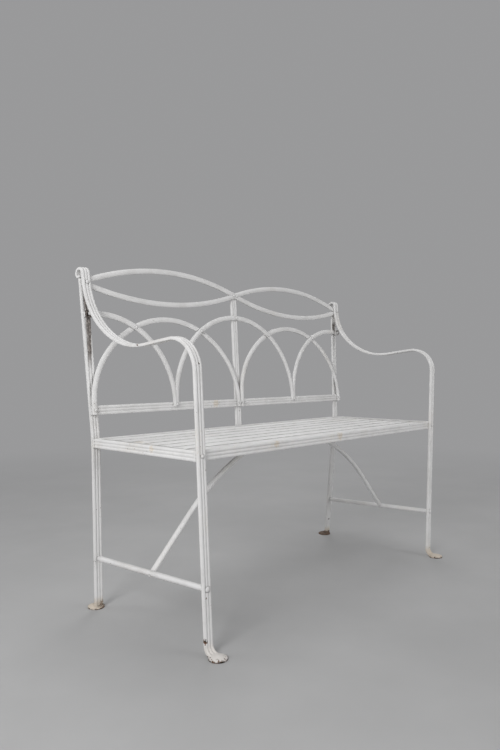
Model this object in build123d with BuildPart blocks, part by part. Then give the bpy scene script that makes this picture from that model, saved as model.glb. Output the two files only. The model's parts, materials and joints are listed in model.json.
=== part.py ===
from build123d import *
import os
from math import atan, cos, degrees, radians, sin, sqrt, tan

# White iron garden bench: reeded flat bars, arched back, slatted seat.
# The floor is z = 0, the front faces -Y and the length runs along X.
# Driving dimensions, in millimetres and degrees.

# Bars
bar_width = 23.0
bar_thick = 7.0
bar_reeds = 3
reed_rise = 1.6
slim_width = 14.0
slim_thick = 6.0
slim_crown = 2.2

# Clearances: between lapped faces, between curved faces, and at a shoulder on a sloping face
lap = 0.1
fit_gap = 0.3
shoulder_gap = 0.6

# End frames
floor_half_length = 495.7
end_lean = 2.965
leg_spacing = 381.5
rear_leg_kick = 20.1
back_rake = 3.31
bend_above_seat = 10.0
bend_below_rail = 7.0
bend_radius = 120.0

# Feet
front_pad_radius = 20.5
front_pad_reach = 27.0
front_foot_bend = 18.0
rear_pad_radius = 21.0
rear_pad_reach = 12.0
pad_edge = 4.0
pad_dome = 5.0
instep_height = 9.0

# Seat
seat_height = 435.0
rail_tall = 23.0
rail_thick = 7.0
slat_count = 7
slat_gap = 5.7
slat_thick = 5.0
slat_reeds = 5
slat_reed_rise = 1.0
slat_end_gap = 2.5
slat_drop = 2.5
ledger_width = 20.0
ledger_thick = 6.0
ledger_end_gap = 5.0
bearer_x = 78.0
bearer_tall = 15.5
bearer_thick = 7.0

# Arms
arm_fall = 7.0
arm_front_radius = 70.0
arm_dip_radius = 215.0
arm_rise_radius = 168.0
arm_knee = 45.0
arm_above_wave_ends = 10.0
arm_run = 12.5
scroll_radius = 13.0
scroll_turn = 180.0
eye_radius = 8.0
eye_turn = 140.0

# Back
back_rail_above_seat = 58.0
back_rail_overhang = 0.3
arch_foot_out = 5.0
centre_foot_x = 7.6
quarter_feet_width = 19.0
quarter_foot_drop = 12.5
wave_ends_above_seat = 387.0
wave_cross_above_ends = 13.0
arch_below_wave_ends = 76.5
centre_arch_below_wave_ends = 56.0
half_arch_below_wave_ends = 76.0
half_arch_lead = 35.0
half_arch_tail = 8.0
wave_rise = 48.0
wave_tail = 7.0
wave_spread = 1.0
wave_rivet_x = 6.5
centre_post_above_cross = 7.0
nut_size = 17.0
nut_thick = 8.0

# Stretchers and braces
stretcher_radius = 6.5
stretcher_front_height = 142.5
stretcher_rear_height = 130.0
brace_radius = 6.5
brace_behind_leg = 182.0
brace_slope = 45.0
brace_top_slope = 12.0
brace_end_run = 4.0
brace_end_above_bearer_foot = 6.0
tenon_radius = 3.5

# Rivets
rivet_radius = 2.5
rivet_head = 5.0
head_rise = 2.2
hole_gap = 0.2

# Sizes that follow from the ones above
lean = radians(end_lean)
rake = radians(back_rake)
half_bar = bar_thick / 2
bend_high = seat_height + bend_above_seat
bend_low = seat_height - rail_tall - bend_below_rail
front_toe = front_pad_reach + front_pad_radius
rear_toe = rear_pad_reach + rear_pad_radius
depth = front_toe + leg_spacing + rear_leg_kick + rear_toe
front_leg_y = front_toe - depth / 2
post_seat_y = front_leg_y + leg_spacing
post_floor_y = post_seat_y + rear_leg_kick
rail_mid = seat_height - rail_tall / 2
back_rail_height = seat_height + back_rail_above_seat
wave_end_height = seat_height + wave_ends_above_seat
wave_cross_height = wave_end_height + wave_cross_above_ends
brace_y = front_leg_y + brace_behind_leg
slat_bottom = seat_height - slat_drop - slat_thick
brace_end_height = slat_bottom - bearer_tall + brace_end_above_bearer_foot


def leg_x(z):
    """Half length between the end frames at a height."""
    return floor_half_length + z * tan(lean)


def along_leg(z):
    """Length along a leaning leg up to a height."""
    return z / cos(lean)


def post_y(z):
    """Middle line of a post above the bend at the seat."""
    return post_seat_y + (z - bend_high) * tan(rake)


# Plane of the right end frame, with Y across and the leaning upright as its second axis
end_plane = Plane(
    origin=(floor_half_length, 0, 0), x_dir=(0, 1, 0), z_dir=(cos(lean), 0, -sin(lean))
)
across_end = -end_plane.z_dir

# Plane of the post fronts above the seat, facing the sitter
back_plane = Plane(
    origin=(0, post_seat_y, bend_high), x_dir=(1, 0, 0), z_dir=(0, -cos(rake), sin(rake))
).offset(half_bar)


def along_back(z):
    """Second coordinate in the back plane for a height."""
    return (z - back_plane.origin.Z) / cos(rake)


def back_spot(x, up):
    """Plane on the post fronts at a spot of the back, facing the sitter."""
    spot = back_plane.from_local_coords(Vector(x, up, 0))
    return Plane(origin=spot, x_dir=back_plane.x_dir, z_dir=back_plane.z_dir)


def front_spot(x, y):
    """Plane at the seat rails' mid height, facing the front."""
    return Plane(origin=(x, y, rail_mid), x_dir=(1, 0, 0), z_dir=(0, -1, 0))


def reeded_section(plane, width, thick, count, rise):
    """Flat bar section with rounded reeds on the side the plane's second axis points to."""
    pitch = width / count
    shoulder = thick / 2 - rise
    with BuildSketch(plane) as section:
        with BuildLine():
            Polyline(
                (-width / 2, shoulder),
                (-width / 2, -thick / 2),
                (width / 2, -thick / 2),
                (width / 2, shoulder),
            )
            for reed in range(count):
                edge = width / 2 - reed * pitch
                SagittaArc((edge, shoulder), (edge - pitch, shoulder), -rise)
        make_face()
    return section.sketch


def slim_section(start, heading, front):
    """Slim bar section with a crowned front; its path lies in the middle of its back face."""
    plane = Plane(origin=start, x_dir=front.cross(heading), z_dir=heading)
    shoulder = slim_thick - slim_crown
    with BuildSketch(plane) as section:
        with BuildLine():
            Polyline(
                (-slim_width / 2, shoulder),
                (-slim_width / 2, 0),
                (slim_width / 2, 0),
                (slim_width / 2, shoulder),
            )
            SagittaArc((slim_width / 2, shoulder), (-slim_width / 2, shoulder), -slim_crown)
        make_face()
    return section.sketch


def add_slim_bar(line, front):
    """Sweep the slim section along a line, in the part being built."""
    sweep(slim_section(line @ 0, line % 0, front), path=line)


def add_pad(toe_y, radius):
    """Forged end of a leg: a domed round pad on the floor."""
    centre = Vector(floor_half_length, toe_y, 0)
    with BuildSketch(Plane(origin=centre, x_dir=(1, 0, 0), z_dir=(0, -1, 0))) as pad:
        with BuildLine():
            Polyline((0, pad_edge + pad_dome), (0, 0), (radius, 0), (radius, pad_edge))
            TangentArc((0, pad_edge + pad_dome), (radius, pad_edge), tangent=Vector(1, 0, 0))
        make_face()
    revolve(pad.sketch, axis=Axis(centre, (0, 0, 1)))


def rivet_profile(side, low, high):
    """Half section of a rivet between two faces, with a domed head on each."""
    with BuildSketch(side) as outline:
        with BuildLine():
            Line((0, low - head_rise), (0, high + head_rise))
            TangentArc((0, high + head_rise), (rivet_head, high), tangent=Vector(1, 0, 0))
            Polyline(
                (rivet_head, high), (rivet_radius, high), (rivet_radius, low), (rivet_head, low)
            )
            TangentArc((0, low - head_rise), (rivet_head, low), tangent=Vector(1, 0, 0))
        make_face()
    return outline.sketch


def add_rivet(base, low, high):
    """Rivet along a plane's normal, gripping from one distance to another."""
    side = Plane(origin=base.origin, x_dir=base.x_dir, z_dir=-base.y_dir)
    revolve(rivet_profile(side, low, high), axis=Axis(base.origin, base.z_dir))


def add_pin(base, radius, low, high):
    """Pin along a plane's normal, with a domed head at its low end."""
    side = Plane(origin=base.origin, x_dir=base.x_dir, z_dir=-base.y_dir)
    with BuildSketch(side) as outline:
        with BuildLine():
            TangentArc((0, low - head_rise), (2 * radius, low), tangent=Vector(1, 0, 0))
            Polyline((2 * radius, low), (radius, low), (radius, high), (0, high))
            Line((0, high), (0, low - head_rise))
        make_face()
    revolve(outline.sketch, axis=Axis(base.origin, base.z_dir))


def drill(base, low, high, radius=rivet_radius):
    """Clear hole along a plane's normal through the part being built."""
    with BuildSketch(base.offset(low)) as spot:
        Circle(radius + hole_gap)
    extrude(spot.sketch, amount=high - low, mode=Mode.SUBTRACT)


os.makedirs("parts", exist_ok=True)


def keep(piece, name):
    """Name a finished piece and write its file."""
    piece.part.label = name
    export_step(piece.part, f"parts/{name}.step")


# Seat frame planes and spots
front_rail_y = front_leg_y + half_bar + lap + rail_thick / 2
rear_rail_y = post_seat_y - half_bar - lap - rail_thick / 2
seat_half_length = leg_x(rail_mid) + bar_width / 2
seat_front = front_rail_y + rail_thick / 2
seat_rear = rear_rail_y - rail_thick / 2
seat_depth = seat_rear - seat_front
seat_mid_y = (seat_front + seat_rear) / 2
side_rail_x = seat_half_length - rail_thick / 2
slat_half_length = seat_half_length - rail_thick - slat_end_gap
slat_pitch = (seat_depth - slat_gap) / slat_count
slat_width = slat_pitch - slat_gap
slat_rows = [seat_front + slat_gap / 2 + (row + 0.5) * slat_pitch for row in range(slat_count)]
ledger_x = seat_half_length - rail_thick - ledger_width / 2
seat_rivet_x = seat_half_length - rail_thick - rivet_head - fit_gap
leg_grip = half_bar + lap + rail_thick
ledger_mid = slat_bottom - ledger_thick / 2

# Back spots
rail_low = along_back(back_rail_height)
rail_front = lap + rail_thick
arch_back = rail_front + lap
arch_front = arch_back + slim_thick
spring = rail_low + bar_width
rail_rivet_up = rail_low + bar_width / 2
quarter_rivet_up = spring - quarter_foot_drop / 2
rail_x = leg_x(back_rail_height + bar_width / 2)
wave_end_up = along_back(wave_end_height)
wave_cross_up = along_back(wave_cross_height)
wave_x = leg_x(wave_end_height)
wave_front = lap + slim_thick
quarter_x = rail_x / 2
quarter_step = (quarter_feet_width - slim_width) / 2
back_rail_half = rail_x + bar_width / 2 + back_rail_overhang
arch_foot_x = rail_x + arch_foot_out
arch_x = (arch_foot_x + centre_foot_x) / 2
half_arch_height = wave_end_height - half_arch_below_wave_ends
half_arch_x = leg_x(half_arch_height)
half_arch_rise = along_back(half_arch_height) - spring
centre_arch_up = along_back(wave_end_height - centre_arch_below_wave_ends)
centre_arch_rise = centre_arch_up - spring
arch_rise = along_back(wave_end_height - arch_below_wave_ends) - spring


def crown(apex_x, half_span, rise):
    """Circle of the top of a basket arch: middle, height of its centre, radius."""
    radius = half_span * (half_span + rise) / (2 * rise)
    return apex_x, rise - radius, radius


def crossing(first, second):
    """Upper meeting point of two circles, the first one lying to the left."""
    x1, y1, r1 = first
    x2, y2, r2 = second
    span = sqrt((x2 - x1) ** 2 + (y2 - y1) ** 2)
    along = (span**2 + r1**2 - r2**2) / (2 * span)
    off = sqrt(r1**2 - along**2)
    x = x1 + (along * (x2 - x1) - off * (y2 - y1)) / span
    y = y1 + (along * (y2 - y1) + off * (x2 - x1)) / span
    return x, y


side_crown = crown(arch_x, arch_foot_x - arch_x, arch_rise)
middle_crown = crown(0, quarter_x - quarter_step, centre_arch_rise)
half_arch_top = half_arch_x - half_arch_lead
outer_crown = crown(half_arch_top, half_arch_top - quarter_x - quarter_step, half_arch_rise)
half_arch_hold = outer_crown[1] + sqrt(outer_crown[2] ** 2 - half_arch_lead**2)
half_arch_up = spring + half_arch_hold
inner_crossing = crossing(middle_crown, side_crown)
outer_crossing = crossing(side_crown, outer_crown)
crossing_rise = min(inner_crossing[1], outer_crossing[1]) - slim_width / 2

# Planes of the arch backs, which lean back from the rail's top edge: the middle and half
# arches until they meet the posts, and the side arches further, to pass behind the others
centre_arch_lean = (arch_back - fit_gap) / centre_arch_rise
half_arch_lean = (arch_back - fit_gap - lap) / half_arch_hold
front_lean = max(centre_arch_lean, half_arch_lean)
side_arch_lean = front_lean + (slim_thick + fit_gap) / crossing_rise
rail_edge_plane = back_spot(0, spring).offset(arch_back)
centre_arch_plane = rail_edge_plane.rotated((-degrees(atan(centre_arch_lean)), 0, 0))
half_arch_plane = rail_edge_plane.rotated((-degrees(atan(half_arch_lean)), 0, 0))
side_arch_plane = rail_edge_plane.rotated((-degrees(atan(side_arch_lean)), 0, 0))
arch_top_front = slim_thick + 2 * fit_gap


def arch_line(plane, foot_x, apex_x, rise, drop, tail):
    """Basket arch from a foot: whole when it has no tail, else ending beyond its top."""
    half_span = abs(apex_x - foot_x)
    way = 1 if apex_x > foot_x else -1
    _, low, radius = crown(apex_x, half_span, rise)
    out = (half_span + rise) / half_span
    up = (half_span + 2 * rise) / (2 * rise)
    join_x = way * radius * out / sqrt(out**2 + up**2)
    join_y = low + radius * up / sqrt(out**2 + up**2)
    with BuildLine(plane) as line:
        foot = Line((foot_x, -drop), (foot_x, 0))
        haunch = TangentArc(foot @ 1, (apex_x - join_x, join_y), tangent=foot % 1)
        if tail:
            end = (apex_x + way * tail, low + sqrt(radius**2 - tail**2))
            TangentArc(haunch @ 1, end, tangent=haunch % 1)
        else:
            top = TangentArc(haunch @ 1, (apex_x + join_x, join_y), tangent=haunch % 1)
            far_x = 2 * apex_x - foot_x
            far = TangentArc(top @ 1, (far_x, 0), tangent=top % 1)
            Line(far @ 1, (far_x, -drop))
    return line.wires()[0]


# Stretcher axis in the right end frame
stretcher_rear_y = post_floor_y - rear_leg_kick * stretcher_rear_height / bend_low
stretcher_start = end_plane.from_local_coords(
    Vector(front_leg_y, along_leg(stretcher_front_height), 0)
)
stretcher_end = end_plane.from_local_coords(
    Vector(stretcher_rear_y, along_leg(stretcher_rear_height), 0)
)
stretcher_run = stretcher_end - stretcher_start
stretcher_plane = Plane(origin=stretcher_start, x_dir=end_plane.z_dir, z_dir=stretcher_run)
stretcher_length = stretcher_run.length
brace_share = (brace_y - stretcher_start.Y) / stretcher_run.Y
brace_start = stretcher_start + stretcher_run * brace_share
brace_plane = Plane(origin=brace_start, x_dir=(-1, 0, 0), z_dir=(0, 1, 0))
brace_heading = Vector(-cos(radians(brace_slope)), 0, sin(radians(brace_slope)))
brace_foot_plane = Plane(origin=brace_start, x_dir=(0, 1, 0), z_dir=brace_heading)
top_slope = radians(brace_top_slope)
brace_top_plane = Plane(
    origin=(bearer_x, brace_y, brace_end_height),
    x_dir=(0, 1, 0),
    z_dir=(cos(top_slope), 0, -sin(top_slope)),
)

# Arm line: the dip and the rise are two arcs that meet at the knee and end along the post
arm_end_height = wave_end_height + arm_above_wave_ends
arm_stack = bar_thick + slim_thick + 2 * lap
arm_end_y = post_y(arm_end_height) - arm_stack / cos(rake)
end_rake = degrees(atan(tan(rake) * cos(lean)))
knee = radians(arm_knee)
fall = radians(arm_fall)
steep = radians(90 - end_rake)
knee_y = arm_end_y - arm_rise_radius * (sin(steep) - sin(knee))
knee_up = along_leg(arm_end_height) - arm_rise_radius * (cos(knee) - cos(steep))
dip_y = knee_y - arm_dip_radius * (sin(knee) + sin(fall))
dip_up = knee_up - arm_dip_radius * (cos(fall) - cos(knee))
corner_up = dip_up + (dip_y - front_leg_y) * tan(fall)
foot_up = half_bar + bar_width / 2 * sin(lean) + lap
front_toe_y = front_leg_y - front_pad_reach
rear_toe_y = post_floor_y + rear_pad_reach
scroll_height = arm_end_height + arm_run
post_top = scroll_height - eye_radius - half_bar - lap - fit_gap - shoulder_gap

# Right arm and front leg
with BuildPart() as right_arm_leg:
    with BuildLine(end_plane) as arm_path:
        rise_line = FilletPolyline(
            (front_toe_y, foot_up),
            (front_leg_y, foot_up),
            (front_leg_y, corner_up),
            (dip_y, dip_up),
            radius=[front_foot_bend, arm_front_radius],
        )
        dip = JernArc(rise_line @ 1, rise_line % 1, arm_dip_radius, arm_knee + arm_fall)
        sweep_up = JernArc(dip @ 1, dip % 1, arm_rise_radius, 90 - end_rake - arm_knee)
        run_up = Line(sweep_up @ 1, sweep_up @ 1 + (sweep_up % 1) * arm_run)
        curl = JernArc(run_up @ 1, run_up % 1, scroll_radius, -scroll_turn)
        JernArc(curl @ 1, curl % 1, eye_radius, -eye_turn)
    arm_start = Plane(origin=rise_line @ 0, x_dir=across_end, z_dir=rise_line % 0)
    sweep(
        reeded_section(arm_start, bar_width, bar_thick, bar_reeds, reed_rise),
        path=arm_path.wires()[0],
    )
    add_pad(front_toe_y, front_pad_radius)
    drill(front_spot(seat_rivet_x, front_leg_y), -bar_width, bar_width)
    drill(stretcher_plane, -bar_width, bar_width, tenon_radius)
    drill(back_spot(wave_x, wave_end_up), wave_front, bar_width)
keep(right_arm_leg, "right_arm_leg")

with BuildPart() as left_arm_leg:
    mirror(right_arm_leg.part, about=Plane.YZ)
keep(left_arm_leg, "left_arm_leg")

# Right rear post
with BuildPart() as right_rear_post:
    with BuildLine(end_plane) as post_path:
        post_line = FilletPolyline(
            (post_floor_y - rear_leg_kick * pad_edge / bend_low, along_leg(pad_edge)),
            (post_seat_y, along_leg(bend_low)),
            (post_seat_y, along_leg(bend_high)),
            (post_y(post_top), along_leg(post_top)),
            radius=[bend_radius, bend_radius],
        )
    post_start = Plane(origin=post_line @ 0, x_dir=across_end, z_dir=post_line % 0)
    sweep(
        reeded_section(post_start, bar_width, bar_thick, bar_reeds, reed_rise),
        path=post_path.wires()[0],
    )
    add_pad(rear_toe_y, rear_pad_radius)
    with BuildSketch(end_plane) as instep:
        Polygon(
            (post_floor_y, pad_edge),
            (rear_toe_y, pad_edge),
            (rear_toe_y, pad_edge + pad_dome),
            (post_floor_y, pad_edge + pad_dome + instep_height),
            align=None,
        )
    extrude(instep.sketch, amount=bar_width / 2 - reed_rise, both=True)
    drill(front_spot(seat_rivet_x, post_seat_y), -bar_width, bar_width)
    drill(stretcher_plane.offset(stretcher_length), -bar_width, bar_width, tenon_radius)
    drill(back_spot(arch_foot_x, rail_rivet_up), -bar_width, bar_width)
    drill(back_spot(half_arch_x, half_arch_up), -bar_width, bar_width)
    drill(back_spot(wave_x, wave_end_up), -bar_width, bar_width)
keep(right_rear_post, "right_rear_post")

with BuildPart() as left_rear_post:
    mirror(right_rear_post.part, about=Plane.YZ)
keep(left_rear_post, "left_rear_post")

# Centre post, behind the rear seat rail and up to the crossing of the waves
with BuildPart() as centre_post:
    centre_top = wave_cross_height + centre_post_above_cross
    with BuildLine(Plane(origin=(0, 0, 0), x_dir=(0, 1, 0), z_dir=(1, 0, 0))) as centre_path:
        centre_line = FilletPolyline(
            (post_seat_y, seat_height - rail_tall),
            (post_seat_y, bend_high),
            (post_y(centre_top), centre_top),
            radius=[bend_radius],
        )
    centre_start = Plane(origin=centre_line @ 0, x_dir=(-1, 0, 0), z_dir=centre_line % 0)
    sweep(
        reeded_section(centre_start, bar_width, bar_thick, bar_reeds, reed_rise),
        path=centre_path.wires()[0],
    )
    drill(front_spot(0, post_seat_y), -bar_width, bar_width)
    drill(back_spot(0, centre_arch_up), -bar_width, bar_width)
    for way in (-1, 1):
        drill(back_spot(way * wave_rivet_x, wave_cross_up), -bar_width, bar_width)
        drill(back_spot(way * centre_foot_x, rail_rivet_up), -bar_width, bar_width)
keep(centre_post, "centre_post")


def add_seat_rail(middle, heading, length):
    """Reeded bar on edge, level, with its reeds on the right hand of its heading."""
    start = Plane(origin=middle - heading * (length / 2), x_dir=(0, 0, 1), z_dir=heading)
    extrude(reeded_section(start, rail_tall, rail_thick, bar_reeds, reed_rise), amount=length)


# Seat rails, reeded bars on edge
with BuildPart() as seat_front_rail:
    add_seat_rail(Vector(0, front_rail_y, rail_mid), Vector(1, 0, 0), 2 * seat_half_length)
    for x in (-seat_rivet_x, seat_rivet_x):
        drill(front_spot(x, front_rail_y), -rail_thick, rail_thick)
keep(seat_front_rail, "seat_front_rail")

with BuildPart() as seat_rear_rail:
    add_seat_rail(Vector(0, rear_rail_y, rail_mid), Vector(1, 0, 0), 2 * seat_half_length)
    for x in (-seat_rivet_x, 0, seat_rivet_x):
        drill(front_spot(x, rear_rail_y), -rail_thick, rail_thick)
keep(seat_rear_rail, "seat_rear_rail")

with BuildPart() as seat_right_rail:
    add_seat_rail(Vector(side_rail_x, seat_mid_y, rail_mid), Vector(0, 1, 0), seat_depth)
keep(seat_right_rail, "seat_right_rail")

with BuildPart() as seat_left_rail:
    mirror(seat_right_rail.part, about=Plane.YZ)
keep(seat_left_rail, "seat_left_rail")

# Ledgers under the slat ends, and bearers on edge that carry the brace tops
with BuildPart() as right_ledger:
    with Locations((ledger_x, seat_mid_y, ledger_mid)):
        Box(ledger_width, seat_depth - 2 * ledger_end_gap, ledger_thick)
    for y in slat_rows:
        drill(Plane((ledger_x, y, slat_bottom)), -slat_thick - ledger_thick, slat_thick)
keep(right_ledger, "right_ledger")

with BuildPart() as left_ledger:
    mirror(right_ledger.part, about=Plane.YZ)
keep(left_ledger, "left_ledger")

with BuildPart() as right_bearer:
    with Locations((bearer_x, seat_mid_y, slat_bottom - bearer_tall / 2)):
        Box(bearer_thick, seat_depth, bearer_tall)
    drill(brace_top_plane, -2 * bearer_thick, 2 * bearer_thick, tenon_radius)
keep(right_bearer, "right_bearer")

with BuildPart() as left_bearer:
    mirror(right_bearer.part, about=Plane.YZ)
keep(left_bearer, "left_bearer")

# Seat slats, lengthwise, reeded on top
for number, y in enumerate(slat_rows, start=1):
    with BuildPart() as slat:
        slat_start = Plane(
            origin=(-slat_half_length, y, slat_bottom + slat_thick / 2),
            x_dir=(0, 1, 0),
            z_dir=(1, 0, 0),
        )
        extrude(
            reeded_section(slat_start, slat_width, slat_thick, slat_reeds, slat_reed_rise),
            amount=2 * slat_half_length,
        )
        for x in (-ledger_x, ledger_x):
            drill(Plane((x, y, slat_bottom)), -slat_thick, 2 * slat_thick)
    keep(slat, f"seat_slat_{number}")

# Back rail, lapped on the post fronts
with BuildPart() as back_rail:
    rail_start = Plane(
        origin=back_plane.from_local_coords(
            Vector(-back_rail_half, rail_rivet_up, lap + rail_thick / 2)
        ),
        x_dir=back_plane.y_dir,
        z_dir=(1, 0, 0),
    )
    extrude(
        reeded_section(rail_start, bar_width, rail_thick, bar_reeds, reed_rise),
        amount=2 * back_rail_half,
    )
    for x in (-arch_foot_x, -centre_foot_x, centre_foot_x, arch_foot_x):
        drill(back_spot(x, rail_rivet_up), -rail_thick, 2 * rail_thick)
    for x in (-quarter_x, quarter_x):
        drill(back_spot(x, quarter_rivet_up), -rail_thick, 2 * rail_thick)
keep(back_rail, "back_rail")

# Side arches, behind
with BuildPart() as right_arch:
    add_slim_bar(
        arch_line(side_arch_plane, arch_foot_x, arch_x, arch_rise, bar_width, 0),
        side_arch_plane.z_dir,
    )
    for x in (centre_foot_x, arch_foot_x):
        drill(back_spot(x, rail_rivet_up), 0, 2 * arch_front)
    for x, up in (inner_crossing, outer_crossing):
        drill(back_spot(x, spring + up), -2 * arch_front, 2 * arch_front)
keep(right_arch, "right_arch")

with BuildPart() as left_arch:
    mirror(right_arch.part, about=Plane.YZ)
keep(left_arch, "left_arch")

# Centre arch and half arches, in front, with their feet mitred in pairs
with BuildPart() as centre_arch:
    add_slim_bar(
        arch_line(
            centre_arch_plane,
            quarter_x - quarter_step,
            0,
            centre_arch_rise,
            quarter_foot_drop,
            0,
        ),
        centre_arch_plane.z_dir,
    )
    split(bisect_by=Plane.YZ.offset(quarter_x - lap / 2), keep=Keep.BOTTOM)
    split(bisect_by=Plane.YZ.offset(lap / 2 - quarter_x), keep=Keep.TOP)
    for way in (-1, 1):
        drill(back_spot(way * quarter_x, quarter_rivet_up), 0, 2 * arch_front)
        drill(back_spot(way * inner_crossing[0], spring + inner_crossing[1]), 0, 2 * arch_front)
    drill(back_spot(0, centre_arch_up), -lap, 2 * arch_front)
keep(centre_arch, "centre_arch")

with BuildPart() as right_half_arch:
    add_slim_bar(
        arch_line(
            half_arch_plane,
            quarter_x + quarter_step,
            half_arch_top,
            half_arch_rise,
            quarter_foot_drop,
            half_arch_lead + half_arch_tail,
        ),
        half_arch_plane.z_dir,
    )
    split(bisect_by=Plane.YZ.offset(quarter_x + lap / 2), keep=Keep.TOP)
    drill(back_spot(quarter_x, quarter_rivet_up), 0, 2 * arch_front)
    drill(back_spot(outer_crossing[0], spring + outer_crossing[1]), 0, 2 * arch_front)
    drill(back_spot(half_arch_x, half_arch_up), -lap, 2 * arch_front)
keep(right_half_arch, "right_half_arch")

with BuildPart() as left_half_arch:
    mirror(right_half_arch.part, about=Plane.YZ)
keep(left_half_arch, "left_half_arch")


def trim_wave(x, up, side):
    """Cut a wave's end level where it meets its neighbour, above or below a spot."""
    middle = up + side * (slim_width - lap / 2)
    with BuildSketch(back_spot(x, middle)) as waste:
        Rectangle(4 * slim_width, 2 * slim_width)
    extrude(waste.sketch, amount=2 * slim_thick, both=True, mode=Mode.SUBTRACT)


def trim_wave_middle(way):
    """Cut a wave's end upright at the middle of the back."""
    with BuildSketch(back_spot(way * (slim_width - lap / 2), wave_cross_up)) as waste:
        Rectangle(2 * slim_width, 4 * slim_width)
    extrude(waste.sketch, amount=2 * slim_thick, both=True, mode=Mode.SUBTRACT)


# Waves of the top: four bars in two smooth lines that cross at the middle; at each post the
# ends of an upper and a lower bar are cut to a common point and share a rivet
wave_plane = back_plane.offset(lap)
with BuildLine(wave_plane) as upper_path:
    wave_up = SagittaArc(
        (-wave_x - wave_tail, wave_end_up + wave_spread), (0, wave_cross_up), wave_rise
    )
with BuildLine(wave_plane) as lower_path:
    TangentArc(
        wave_up @ 1, (wave_x + wave_tail, wave_end_up - wave_spread), tangent=wave_up % 1
    )

with BuildPart() as left_upper_wave:
    add_slim_bar(upper_path.wires()[0], back_plane.z_dir)
    trim_wave(-wave_x - wave_tail, wave_end_up, -1)
    trim_wave(0, wave_cross_up, -1)
    trim_wave_middle(1)
    for x, up in ((-wave_x, wave_end_up), (-wave_rivet_x, wave_cross_up)):
        drill(back_spot(x, up), -slim_thick, 2 * slim_thick)
keep(left_upper_wave, "left_upper_wave")

with BuildPart() as right_upper_wave:
    mirror(left_upper_wave.part, about=Plane.YZ)
keep(right_upper_wave, "right_upper_wave")

with BuildPart() as right_lower_wave:
    add_slim_bar(lower_path.wires()[0], back_plane.z_dir)
    trim_wave(wave_x + wave_tail, wave_end_up, 1)
    trim_wave(0, wave_cross_up, 1)
    trim_wave_middle(-1)
    for x, up in ((wave_x, wave_end_up), (wave_rivet_x, wave_cross_up)):
        drill(back_spot(x, up), -slim_thick, 2 * slim_thick)
keep(right_lower_wave, "right_lower_wave")

with BuildPart() as left_lower_wave:
    mirror(right_lower_wave.part, about=Plane.YZ)
keep(left_lower_wave, "left_lower_wave")

# Square nuts on the bolts of the half arches
with BuildPart() as right_nut:
    with BuildSketch(back_spot(half_arch_x, half_arch_up).offset(arch_top_front)):
        Rectangle(nut_size, nut_size)
    extrude(amount=nut_thick)
    drill(back_spot(half_arch_x, half_arch_up), 0, 4 * nut_thick)
keep(right_nut, "right_nut")

with BuildPart() as left_nut:
    mirror(right_nut.part, about=Plane.YZ)
keep(left_nut, "left_nut")

# Stretchers: round bars with a tenon through the leg and one through the post
stretcher_edge = half_bar + shoulder_gap
with BuildPart() as right_stretcher:
    with BuildSketch(stretcher_plane.offset(stretcher_edge)):
        Circle(stretcher_radius)
    extrude(amount=stretcher_length - 2 * stretcher_edge)
    add_pin(stretcher_plane, tenon_radius, -stretcher_edge, 2 * stretcher_edge)
    add_pin(
        Plane(origin=stretcher_end, x_dir=end_plane.z_dir, z_dir=-stretcher_run),
        tenon_radius,
        -stretcher_edge,
        2 * stretcher_edge,
    )
    drill(brace_foot_plane, -2 * stretcher_radius, 2 * stretcher_radius)
keep(right_stretcher, "right_stretcher")

with BuildPart() as left_stretcher:
    mirror(right_stretcher.part, about=Plane.YZ)
keep(left_stretcher, "left_stretcher")

# Braces: round bars from a saddle on the stretcher up to a tenon through the bearer
brace_tip = bearer_thick / 2 + brace_radius * tan(top_slope) + lap
brace_run = brace_start.X - bearer_x - brace_tip
brace_climb = brace_end_height - brace_tip * tan(top_slope) - brace_start.Z
foot_slope = radians(brace_slope)
brace_corner = (brace_climb - brace_run * tan(top_slope)) / (tan(foot_slope) - tan(top_slope))
brace_reach = (brace_run - brace_corner) / cos(top_slope)
brace_bend = (brace_reach - brace_end_run) / tan((foot_slope - top_slope) / 2)
brace_head = bearer_thick / 2 + 2 * tenon_radius * tan(top_slope) + lap
with BuildPart() as right_brace:
    with BuildLine(brace_plane) as brace_path:
        FilletPolyline(
            (0, 0),
            (brace_corner, brace_corner * tan(foot_slope)),
            (brace_run, brace_climb),
            radius=[brace_bend],
        )
    with BuildSketch(brace_foot_plane):
        Circle(brace_radius)
    sweep(path=brace_path.wires()[0])
    with BuildSketch(stretcher_plane) as saddle:
        Circle(stretcher_radius + fit_gap)
    extrude(saddle.sketch, amount=stretcher_length, mode=Mode.SUBTRACT)
    add_pin(
        brace_foot_plane, rivet_radius, -stretcher_radius - fit_gap, stretcher_radius * 2
    )
    add_pin(brace_top_plane, tenon_radius, -brace_head, 2 * bearer_thick)
keep(right_brace, "right_brace")

with BuildPart() as left_brace:
    mirror(right_brace.part, about=Plane.YZ)
keep(left_brace, "left_brace")

# Rivets, one group for each kind of joint
post_back = -bar_thick - lap
arm_tilt = arm_above_wave_ends / arm_rise_radius
arm_bow = arm_tilt**2 * arm_rise_radius / 2 + arm_tilt * rivet_head
with BuildPart() as post_top_rivets:
    for x in (-wave_x, wave_x):
        arm_front = wave_front + lap + bar_thick + arm_bow + fit_gap
        add_rivet(back_spot(x, wave_end_up), post_back, arm_front)
    for x in (-wave_rivet_x, wave_rivet_x):
        add_rivet(back_spot(x, wave_cross_up), post_back, wave_front + lap)
keep(post_top_rivets, "post_top_rivets")

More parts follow.
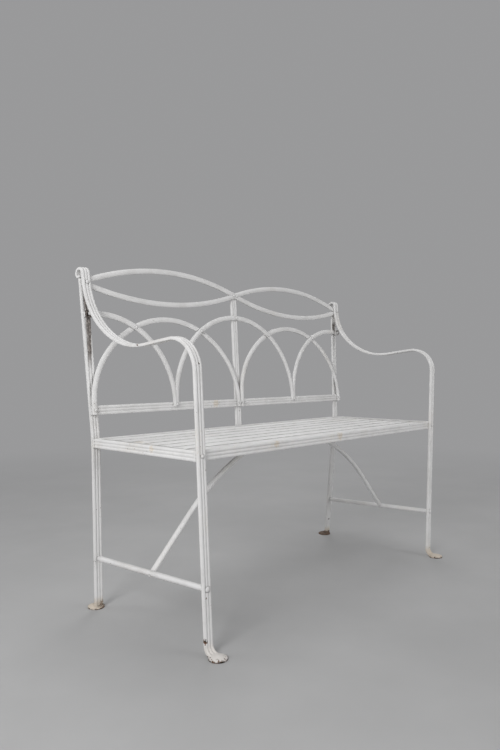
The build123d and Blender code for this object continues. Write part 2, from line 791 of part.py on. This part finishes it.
with BuildPart() as arch_foot_rivets:
    side_foot_front = arch_front + side_arch_lean * (bar_width / 2 + rivet_head) + lap
    quarter_foot_front = arch_front + front_lean * (quarter_foot_drop / 2 + rivet_head) + lap
    for x in (-arch_foot_x, -centre_foot_x, centre_foot_x, arch_foot_x):
        add_rivet(back_spot(x, rail_rivet_up), post_back, side_foot_front)
    for x in (-quarter_x, quarter_x):
        add_rivet(back_spot(x, quarter_rivet_up), 0, quarter_foot_front)
keep(arch_foot_rivets, "arch_foot_rivets")

with BuildPart() as arch_top_rivets:
    add_rivet(back_spot(0, centre_arch_up), post_back, arch_top_front)
    for x in (-half_arch_x, half_arch_x):
        add_rivet(back_spot(x, half_arch_up), post_back, arch_top_front + nut_thick + lap)
keep(arch_top_rivets, "arch_top_rivets")

with BuildPart() as crossing_rivets:
    for place, front_bar in (
        (inner_crossing, centre_arch_lean),
        (outer_crossing, half_arch_lean),
    ):
        x, up = place
        side_back = arch_back - up * side_arch_lean - side_arch_lean * rivet_head - lap
        bar_front = arch_front - up * front_bar + fit_gap
        for way in (-1, 1):
            add_rivet(back_spot(way * x, spring + up), side_back, bar_front)
keep(crossing_rivets, "crossing_rivets")

with BuildPart() as seat_frame_rivets:
    for x in (-seat_rivet_x, seat_rivet_x):
        add_rivet(front_spot(x, front_leg_y), -leg_grip - lap, half_bar + lap)
    for x in (-seat_rivet_x, 0, seat_rivet_x):
        add_rivet(front_spot(x, post_seat_y), -half_bar - lap, leg_grip + lap)
keep(seat_frame_rivets, "seat_frame_rivets")

with BuildPart() as slat_rivets:
    for y in slat_rows:
        for x in (-ledger_x, ledger_x):
            add_pin(
                Plane((x, y, slat_bottom)),
                rivet_radius,
                -ledger_thick - lap,
                slat_thick - slat_reed_rise,
            )
keep(slat_rivets, "slat_rivets")
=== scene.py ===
import json
import math

import bpy
from mathutils import Matrix, Vector

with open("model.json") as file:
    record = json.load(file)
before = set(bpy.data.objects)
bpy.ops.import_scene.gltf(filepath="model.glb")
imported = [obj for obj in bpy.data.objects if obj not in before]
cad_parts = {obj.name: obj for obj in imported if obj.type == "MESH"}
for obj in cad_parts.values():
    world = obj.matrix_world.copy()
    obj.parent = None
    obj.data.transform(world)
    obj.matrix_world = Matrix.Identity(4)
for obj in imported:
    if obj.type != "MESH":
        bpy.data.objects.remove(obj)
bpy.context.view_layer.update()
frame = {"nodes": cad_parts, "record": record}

scene = bpy.context.scene

# Lengths and places are in metres unless the name says otherwise, colours are linear.

# Finish: colours, then the depth of bumps and the radius of softened edges
PAINT = (0.735, 0.730, 0.725, 1.0)
PAINT_SHADE = (0.670, 0.664, 0.656, 1.0)
# Grey of the painted shade in grooves and slat gaps, and of some dirt on the slats
SHADE_AND_GRIME = (0.270, 0.262, 0.250, 1.0)
CREAM = (0.560, 0.480, 0.385, 1.0)
STAIN = (0.580, 0.440, 0.250, 1.0)
RUST_DARK = (0.026, 0.018, 0.013, 1.0)
RUST_WARM = (0.150, 0.072, 0.034, 1.0)
# Browns of the rust runs on the rear posts, which also colour the painted shadow of the arm
# there
RUN_AND_SHADOW_BROWN = (0.070, 0.054, 0.044, 1.0)
RUN_PALE = (0.230, 0.200, 0.180, 1.0)
PAINT_BUMP = 0.0013
PAINT_EDGE = 0.0028
CRUST_BUMP = 0.0016
CRUST_EDGE = 0.0012

# Edge of a spot, as shares of its size: gone outside, full inside
SPOT_OUTSIDE = 1.2
SPOT_INSIDE = 0.8

# Chips in the paint: place and size
CHIPS = (
    # Near front leg: above its pad, below the arm, below the stretcher
    ((-0.508, -0.194, 0.032), 0.0055),
    ((-0.5253, -0.195, 0.6176), 0.0022),
    ((-0.5064, -0.1958, 0.1236), 0.0018),
    # Dip of the near arm, far rear leg, end of a slat
    ((-0.541, -0.0101, 0.661), 0.0026),
    ((0.5001, 0.202, 0.0561), 0.0032),
    ((-0.4846, 0.0563, 0.4325), 0.0016),
)

# Yellow stains: place and size
STAINS = (
    # Back rail, left seat rail, end of a slat
    ((-0.1043, 0.1812, 0.5066), 0.0110),
    ((-0.5278, -0.0439, 0.4271), 0.0075),
    ((-0.4846, 0.0563, 0.4325), 0.0130),
    # Front seat rail
    ((-0.0012, -0.1887, 0.4278), 0.0110),
    ((-0.2661, -0.1894, 0.4289), 0.0080),
)

# Painted shade in the grooves and between bars: its reach, and the heights between which it
# grows
GROOVE_REACH = 0.008
GROOVE_HEIGHTS = (0.45, 0.62)

# Feet: the near one is the least cream and rusty higher up its rim, the far one is bare
FEET = {mount["name"]: tuple(mount["pos_m"]) for mount in frame["record"]["mounts"]}
NEAR_FOOT = FEET["front_left_foot"]
FAR_FOOT = FEET["rear_right_foot"]
LEFT_FOOT_RUST = (-0.482, 0.215, 0.004)
NEAR_REACH = (0.15, 0.25)
FAR_REACH = (0.12, 0.08)
LEFT_RUST_REACH = (0.026, 0.015)

# Heights between which the finish of the feet changes, and how far these wander
CREAM_HEIGHTS = (0.036, 0.012)
BARE_HEIGHTS = (0.017, 0.012)
PAD_WANDER = 0.006
RIM_HEIGHTS = (0.0044, 0.0030)
RIM_WANDER = 0.0070
# How much lower the rusty rim is on the other feet than on the near one
RIM_DROP = 0.0018

# Rust runs below the nuts, partly painted shadow of the arm on the posts' fronts: place across,
# foot and head of each
LEFT_RUN_AND_SHADOW = (-0.5285, 0.595, 0.800)
RIGHT_RUN_AND_SHADOW = (0.5320, 0.715, 0.790)
# Half widths of a run, how far its edges wander, and where it fades
RUN_FOOT_HALF = 0.004
RUN_HEAD_HALF = 0.0115
RUN_WANDER = 0.003
RUN_SOFTNESS = 0.0015
RUN_FOOT_FADE = 0.06
RUN_HEAD_FADE = 0.02

# Brace tops: the height where the brown begins, its fade and its wander
BROWN_TOP = 0.390
BROWN_FADE = 0.02
BROWN_WANDER = 0.03

# Noise levels from which the nuts keep paint
LEFT_NUT_PAINT = 0.60
RIGHT_NUT_PAINT = 0.38
NUT_PAINT_FADE = 0.12

# Floor and backdrop
BACKDROP = (0.32, 0.32, 0.325, 1.0)
FLOOR_LIGHT = (0.45, 0.45, 0.45, 1.0)
FLOOR_DARK = (0.42, 0.42, 0.42, 1.0)
FLOOR_ROUGHNESS = 0.75
FLOOR_SPECULAR = 0.2
FLOOR_MIDDLE = (0.0, 0.0, 0.0)
FLOOR_FADE = (0.8, 3.6)
FLOOR_SPAN = 40.0

# Light
SKY = (0.44, 0.44, 0.45, 1.0)
SKY_STRENGTH = 0.55
LAMP_AIM = Vector((0.0, 0.0, 0.45))

# Camera of the photograph: nearly level, just below arm height, off the front left corner
CAMERA_PLACE = (-1.4289, -1.16225, 0.600)
YAW = math.radians(42.34)
PITCH = math.radians(-0.295)
ROLL = math.radians(-0.076)
SENSOR_MM = 36.0
LENS_MM = 30.53


class Nodes:
    """A material's node tree, with short calls for what the finishes use."""

    def __init__(self, name):
        self.material = bpy.data.materials.new(name)
        self.material.use_nodes = True
        self.tree = self.material.node_tree
        self.tree.nodes.clear()
        self.output = self.add("OutputMaterial")
        self.shader = self.add("BsdfPrincipled")
        self.link(self.shader.outputs["BSDF"], self.output.inputs["Surface"])
        geometry = self.add("NewGeometry")
        self.position = geometry.outputs["Position"]
        self.x, _, self.z = self.split(self.position)
        _, self.facing_back, _ = self.split(geometry.outputs["True Normal"])

    def add(self, kind):
        return self.tree.nodes.new("ShaderNode" + kind)

    def link(self, source, target):
        self.tree.links.new(source, target)

    def feed(self, socket, value):
        """Link a socket, or set it when the value is a constant."""
        if isinstance(value, (int, float, tuple)):
            socket.default_value = value
        else:
            self.link(value, socket)

    def split(self, vector):
        """The three parts of a vector."""
        node = self.add("SeparateXYZ")
        self.link(vector, node.inputs[0])
        return node.outputs[0], node.outputs[1], node.outputs[2]

    def noise(self, scale, detail=3.0, rough=0.55, shift=0.0, stretch=(1.0, 1.0, 1.0)):
        """Noise over the object: the scale is the number of features in a metre."""
        place = self.add("Mapping")
        place.inputs["Location"].default_value = (shift, 2.0 * shift, -shift)
        place.inputs["Scale"].default_value = stretch
        self.link(self.position, place.inputs["Vector"])
        node = self.add("TexNoise")
        node.inputs["Scale"].default_value = scale
        node.inputs["Detail"].default_value = detail
        node.inputs["Roughness"].default_value = rough
        self.link(place.outputs[0], node.inputs["Vector"])
        return node.outputs["Fac"]

    def ramp(self, value, low, high, to_low=0.0, to_high=1.0):
        """Clamped smooth change of range."""
        node = self.add("MapRange")
        node.interpolation_type = "SMOOTHSTEP"
        node.inputs["From Min"].default_value = low
        node.inputs["From Max"].default_value = high
        node.inputs["To Min"].default_value = to_low
        node.inputs["To Max"].default_value = to_high
        self.link(value, node.inputs["Value"])
        return node.outputs["Result"]

    def math(self, operation, first, second=0.0):
        """Arithmetic on one or two values, either of which may be a number."""
        node = self.add("Math")
        node.operation = operation
        self.feed(node.inputs[0], first)
        self.feed(node.inputs[1], second)
        return node.outputs[0]

    def apart(self, value, middle):
        """How far a value is from a middle one, on either side."""
        return self.math("ABSOLUTE", self.math("SUBTRACT", value, middle))

    def moved(self, value, mask, amount):
        """A value shifted by a share of a mask."""
        return self.math("ADD", value, self.math("MULTIPLY", mask, amount))

    def product(self, *values):
        """All the values multiplied."""
        total = values[0]
        for value in values[1:]:
            total = self.math("MULTIPLY", total, value)
        return total

    def highest(self, *masks):
        """The highest of several masks."""
        top = masks[0]
        for mask in masks[1:]:
            top = self.math("MAXIMUM", top, mask)
        return top

    def mix(self, amount, first, second):
        """Mix of two colours, either of which may be a constant."""
        node = self.add("Mix")
        node.data_type = "RGBA"
        self.feed(node.inputs["Factor"], amount)
        colours = [socket for socket in node.inputs if socket.type == "RGBA"]
        self.feed(colours[0], first)
        self.feed(colours[1], second)
        return next(socket for socket in node.outputs if socket.type == "RGBA")

    def distance(self, place):
        """Distance of the surface from a place."""
        node = self.add("VectorMath")
        node.operation = "DISTANCE"
        self.link(self.position, node.inputs[0])
        node.inputs[1].default_value = place
        return node.outputs["Value"]

    def spots(self, places, ragged):
        """One inside ragged balls of given places and sizes, falling to nothing outside them."""
        balls = []
        for place, radius in places:
            reach = self.moved(self.distance(place), ragged, radius)
            balls.append(self.ramp(reach, SPOT_OUTSIDE * radius, SPOT_INSIDE * radius))
        return self.highest(*balls)

    def openness(self, distance):
        """How open the surface is near a point: low in grooves and between bars."""
        node = self.add("AmbientOcclusion")
        node.samples = 8
        node.inputs["Distance"].default_value = distance
        return node.outputs["AO"]

    def relief(self, height, strength, distance, edge):
        """Bumps on top of rounded edges."""
        soft = self.add("Bevel")
        soft.samples = 4
        soft.inputs["Radius"].default_value = edge
        node = self.add("Bump")
        node.inputs["Strength"].default_value = strength
        node.inputs["Distance"].default_value = distance
        self.link(height, node.inputs["Height"])
        self.link(soft.outputs["Normal"], node.inputs["Normal"])
        self.link(node.outputs["Normal"], self.shader.inputs["Normal"])


def slat_gap_shade_and_dirt(n):
    """Painted shade of the gaps, with some dirt, along the edges of a slat, on its sides and at
    its ends.
    """
    along, across, _ = n.split(n.add("TexCoord").outputs["Generated"])
    wander = n.ramp(n.noise(60.0), 0.3, 0.7, -0.025, 0.025)
    rim = n.ramp(n.math("ADD", n.apart(across, 0.5), wander), 0.455, 0.492, 0.0, 0.85)
    # Painted shade on the sides of the slat, in the gaps between slats
    side = n.ramp(n.math("ABSOLUTE", n.facing_back), 0.75, 0.95)
    end = n.ramp(n.moved(n.apart(along, 0.5), wander, 0.2), 0.474, 0.484, 0.0, 0.55)
    return n.highest(rim, side, end)


def shade_and_grime_mask(n, broad, slat):
    """Painted shade in the grooves, more of it high up, and painted shade with some dirt round
    the edges of a slat.
    """
    # Painted shade where the surface is enclosed: in grooves and between bars
    grooves = n.ramp(n.openness(GROOVE_REACH), 0.90, 0.45)
    shade_and_grime = n.product(grooves, n.ramp(n.z, *GROOVE_HEIGHTS, 0.14, 0.42))
    if slat:
        shade_and_grime = n.highest(shade_and_grime, slat_gap_shade_and_dirt(n))
    return n.product(shade_and_grime, n.ramp(broad, 0.30, 0.55, 0.6, 1.0))


def yellow_mask(n, broad, grain, ragged):
    """Faint yellow patches, and the stains."""
    patches = n.product(n.ramp(broad, 0.56, 0.70), n.ramp(grain, 0.45, 0.62, 0.0, 0.16))
    stains = n.product(n.spots(STAINS, ragged), n.ramp(grain, 0.35, 0.6, 0.16, 0.42))
    return n.highest(patches, stains)


def cream_mask(n, ragged):
    """Cream paint on the pads, least on the near one."""
    low = n.ramp(n.moved(n.z, ragged, PAD_WANDER), *CREAM_HEIGHTS)
    return n.product(low, n.ramp(n.distance(NEAR_FOOT), *NEAR_REACH, 0.30, 0.85))


def bare_mask(n, grain, ragged):
    """Where the paint is gone: specks, pad rims, the far pad, the left rear pad and chips."""
    dots = n.ramp(n.noise(190.0, detail=2.0, rough=0.5, shift=11.0), 0.715, 0.735)
    groups = n.ramp(n.noise(11.0, detail=2.0, rough=0.5, shift=13.0), 0.50, 0.60)
    drop = n.ramp(n.distance(NEAR_FOOT), *NEAR_REACH, 0.0, RIM_DROP)
    rim = n.ramp(n.moved(n.math("ADD", n.z, drop), ragged, RIM_WANDER), *RIM_HEIGHTS)
    low = n.ramp(n.moved(n.z, ragged, PAD_WANDER), *BARE_HEIGHTS)
    far = n.product(low, n.ramp(n.distance(FAR_FOOT), *FAR_REACH, 0.0, 0.85))
    left = n.ramp(n.distance(LEFT_FOOT_RUST), *LEFT_RUST_REACH, 0.0, 0.85)
    left = n.product(left, n.ramp(grain, 0.40, 0.52))
    return n.highest(n.product(dots, groups), rim, far, left, n.spots(CHIPS, ragged))


def run_and_shadow_mask(n, across, foot, head):
    """Dark streak down the front of a post, from a nut, narrower and fainter at its foot: a rust
    run, partly painted shadow of the arm.
    """
    streaks = n.noise(260.0, shift=2.0, stretch=(1.0, 1.0, 0.06))
    wander = n.ramp(streaks, 0.3, 0.7, -RUN_WANDER, RUN_WANDER)
    half = n.ramp(n.z, foot, head, RUN_FOOT_HALF, RUN_HEAD_HALF)
    edge = n.math("SUBTRACT", n.math("ADD", n.apart(n.x, across), wander), half)
    band = n.ramp(edge, RUN_SOFTNESS, -RUN_SOFTNESS)
    rise = n.ramp(n.z, foot, foot + RUN_FOOT_FADE)
    fall = n.ramp(n.z, head, head - RUN_HEAD_FADE)
    face = n.ramp(n.math("MULTIPLY", n.facing_back, -1.0), 0.2, 0.5)
    return n.product(band, rise, fall, face, n.ramp(streaks, 0.28, 0.5, 0.72, 0.92))


def rust_colour(n):
    """Dark and warm rust."""
    blotches = n.noise(170.0, detail=4.0, rough=0.6, shift=5.0)
    return n.mix(n.ramp(blotches, 0.42, 0.62), RUST_DARK, RUST_WARM)


def run_and_shadow_colour(n):
    """Dark and pale brown of a rust run, also used as the painted shadow of the arm."""
    blotches = n.noise(120.0, detail=4.0, rough=0.6, shift=6.0)
    return n.mix(n.ramp(blotches, 0.44, 0.62), RUN_AND_SHADOW_BROWN, RUN_PALE)


def paint_material(name, slat=False, run=None, brown_top=None):
    """Many coats of off-white paint: painted shade in the grooves, stains, chips, and rust at
    the floor.
    """
    n = Nodes(name)
    lumps = n.noise(52.0, detail=5.0, rough=0.62)
    cloud = n.noise(23.0, detail=6.0, rough=0.68, shift=17.0)
    grain = n.noise(330.0, rough=0.6, shift=3.0)
    broad = n.noise(7.0, detail=2.0, rough=0.5, shift=7.0)
    ragged = n.ramp(n.noise(210.0, rough=0.6, shift=9.0), 0.3, 0.7, -0.45, 0.45)
    bare = bare_mask(n, grain, ragged)

    colour = n.mix(n.ramp(cloud, 0.34, 0.58), PAINT_SHADE, PAINT)
    # Painted shade in grooves and between slats, with some dirt at the slats
    colour = n.mix(shade_and_grime_mask(n, broad, slat), colour, SHADE_AND_GRIME)
    colour = n.mix(yellow_mask(n, broad, grain, ragged), colour, STAIN)
    colour = n.mix(cream_mask(n, ragged), colour, CREAM)
    colour = n.mix(bare, colour, rust_colour(n))
    # Rust run on a rear post, partly painted shadow of the arm
    if run is not None:
        colour = n.mix(run_and_shadow_mask(n, *run), colour, run_and_shadow_colour(n))
    if brown_top is not None:
        high = n.ramp(n.moved(n.z, ragged, BROWN_WANDER), brown_top, brown_top + BROWN_FADE)
        colour = n.mix(n.product(high, n.ramp(grain, 0.40, 0.58, 0.05, 0.60)), colour, RUN_PALE)
    n.link(colour, n.shader.inputs["Base Color"])

    rough = n.ramp(n.math("ADD", lumps, bare), 0.3, 1.2, 0.56, 0.88)
    n.link(rough, n.shader.inputs["Roughness"])
    height = n.moved(n.moved(lumps, grain, 0.18), bare, -0.6)
    n.relief(height, strength=0.42, distance=PAINT_BUMP, edge=PAINT_EDGE)
    return n.material


def nut_material(name, paint_from):
    """Bare rusted iron with worn paint, the more of it the lower the level it starts from."""
    n = Nodes(name)
    blotches = n.noise(160.0, detail=4.0, rough=0.6, shift=5.0)
    iron = n.mix(n.ramp(blotches, 0.42, 0.66), RUST_DARK, RUN_PALE)
    flakes = n.noise(130.0, rough=0.5, shift=4.0)
    flakes = n.ramp(flakes, paint_from, paint_from + NUT_PAINT_FADE, 0.0, 0.75)
    n.link(n.mix(flakes, iron, PAINT_SHADE), n.shader.inputs["Base Color"])
    crust = n.noise(240.0, detail=5.0, rough=0.65, shift=1.0)
    n.link(n.ramp(crust, 0.3, 0.7, 0.7, 0.95), n.shader.inputs["Roughness"])
    n.relief(crust, strength=0.8, distance=CRUST_BUMP, edge=CRUST_EDGE)
    return n.material


# Finish of each piece
paint = paint_material("white_paint")
slat_paint = paint_material("slat_paint", slat=True)
# Rear posts: rust runs, partly painted shadow of the arm
left_run_and_shadow = paint_material("left_run_and_shadow_paint", run=LEFT_RUN_AND_SHADOW)
right_run_and_shadow = paint_material("right_run_and_shadow_paint", run=RIGHT_RUN_AND_SHADOW)
left_rusty = nut_material("rusty_iron", LEFT_NUT_PAINT)
right_rusty = nut_material("worn_iron", RIGHT_NUT_PAINT)
brace_paint = paint_material("brace_paint", brown_top=BROWN_TOP)
special = {
    "left_rear_post": left_run_and_shadow,
    "right_rear_post": right_run_and_shadow,
    "left_brace": brace_paint,
    "right_brace": brace_paint,
    "left_nut": left_rusty,
    "right_nut": right_rusty,
}
for name, node in frame["nodes"].items():
    finish = slat_paint if name.startswith("seat_slat") else special.get(name, paint)
    node.data.materials.clear()
    node.data.materials.append(finish)


def backdrop_rays(tree):
    """One for the rays that are to meet the backdrop's grey: seen, mirrored or let through."""
    rays = tree.nodes.new("ShaderNodeLightPath")
    total = rays.outputs["Is Camera Ray"]
    for kind in ("Is Glossy Ray", "Is Transmission Ray"):
        either = tree.nodes.new("ShaderNodeMath")
        either.operation = "MAXIMUM"
        tree.links.new(total, either.inputs[0])
        tree.links.new(rays.outputs[kind], either.inputs[1])
        total = either.outputs[0]
    return total


def floor_material(name):
    """Plain floor, which fades into the backdrop's grey far from the object."""
    n = Nodes(name)
    clouds = n.ramp(n.noise(2.2, detail=4.0, rough=0.6), 0.3, 0.7)
    n.link(n.mix(clouds, FLOOR_DARK, FLOOR_LIGHT), n.shader.inputs["Base Color"])
    n.shader.inputs["Roughness"].default_value = FLOOR_ROUGHNESS
    n.shader.inputs["Specular IOR Level"].default_value = FLOOR_SPECULAR
    glow = n.add("Emission")
    glow.inputs["Color"].default_value = BACKDROP
    fade = n.product(backdrop_rays(n.tree), n.ramp(n.distance(FLOOR_MIDDLE), *FLOOR_FADE))
    blend = n.add("MixShader")
    n.link(fade, blend.inputs[0])
    n.link(n.shader.outputs["BSDF"], blend.inputs[1])
    n.link(glow.outputs[0], blend.inputs[2])
    n.link(blend.outputs[0], n.output.inputs["Surface"])
    return n.material


# Floor
floor_mesh = bpy.data.meshes.new("floor")
floor_corners = [
    (-FLOOR_SPAN, -FLOOR_SPAN, 0.0),
    (FLOOR_SPAN, -FLOOR_SPAN, 0.0),
    (FLOOR_SPAN, FLOOR_SPAN, 0.0),
    (-FLOOR_SPAN, FLOOR_SPAN, 0.0),
]
floor_mesh.from_pydata(floor_corners, [], [(0, 1, 2, 3)])
floor = bpy.data.objects.new("floor", floor_mesh)
scene.collection.objects.link(floor)
floor_mesh.materials.append(floor_material("pale_floor"))

# Studio light: a soft sky, seen as the backdrop's grey, and five lamps
world = bpy.data.worlds.new("studio")
scene.world = world
world.use_nodes = True
sky = world.node_tree
background = sky.nodes["Background"]
background.inputs["Color"].default_value = SKY
background.inputs["Strength"].default_value = SKY_STRENGTH
seen_sky = sky.nodes.new("ShaderNodeBackground")
seen_sky.inputs["Color"].default_value = BACKDROP
sky_blend = sky.nodes.new("ShaderNodeMixShader")
sky.links.new(backdrop_rays(sky), sky_blend.inputs[0])
sky.links.new(background.outputs[0], sky_blend.inputs[1])
sky.links.new(seen_sky.outputs[0], sky_blend.inputs[2])
sky.links.new(sky_blend.outputs[0], sky.nodes["World Output"].inputs["Surface"])


def area_light(name, place, size, power):
    """Round lamp that is turned to the middle of the object."""
    data = bpy.data.lights.new(name, "AREA")
    data.shape = "DISK"
    data.size = size
    data.energy = power
    lamp = bpy.data.objects.new(name, data)
    scene.collection.objects.link(lamp)
    lamp.location = place
    aim = LAMP_AIM - Vector(place)
    lamp.rotation_euler = aim.to_track_quat("-Z", "Y").to_euler()


area_light("key", (-2.8, -1.0, 1.5), size=1.2, power=54.0)
area_light("fill", (1.0, -2.9, 0.9), size=1.6, power=25.0)
area_light("top", (0.3, 0.3, 3.2), size=1.8, power=20.0)
area_light("rear_left", (-2.3, 2.3, 2.0), size=1.6, power=15.0)
area_light("rear_right", (2.5, 2.0, 2.0), size=1.6, power=20.0)

# Camera
camera_data = bpy.data.cameras.new("camera")
camera = bpy.data.objects.new("camera", camera_data)
scene.collection.objects.link(camera)
camera_data.sensor_fit = "AUTO"
camera_data.sensor_width = SENSOR_MM
camera_data.lens = LENS_MM
level = math.cos(PITCH)
ahead = Vector((math.cos(YAW) * level, math.sin(YAW) * level, math.sin(PITCH)))
turn = ahead.to_track_quat("-Z", "Y").to_matrix().to_4x4()
place = Matrix.Translation(CAMERA_PLACE)
camera.matrix_world = place @ turn @ Matrix.Rotation(ROLL, 4, "Z")
scene.camera = camera
scene.view_settings.view_transform = "Standard"
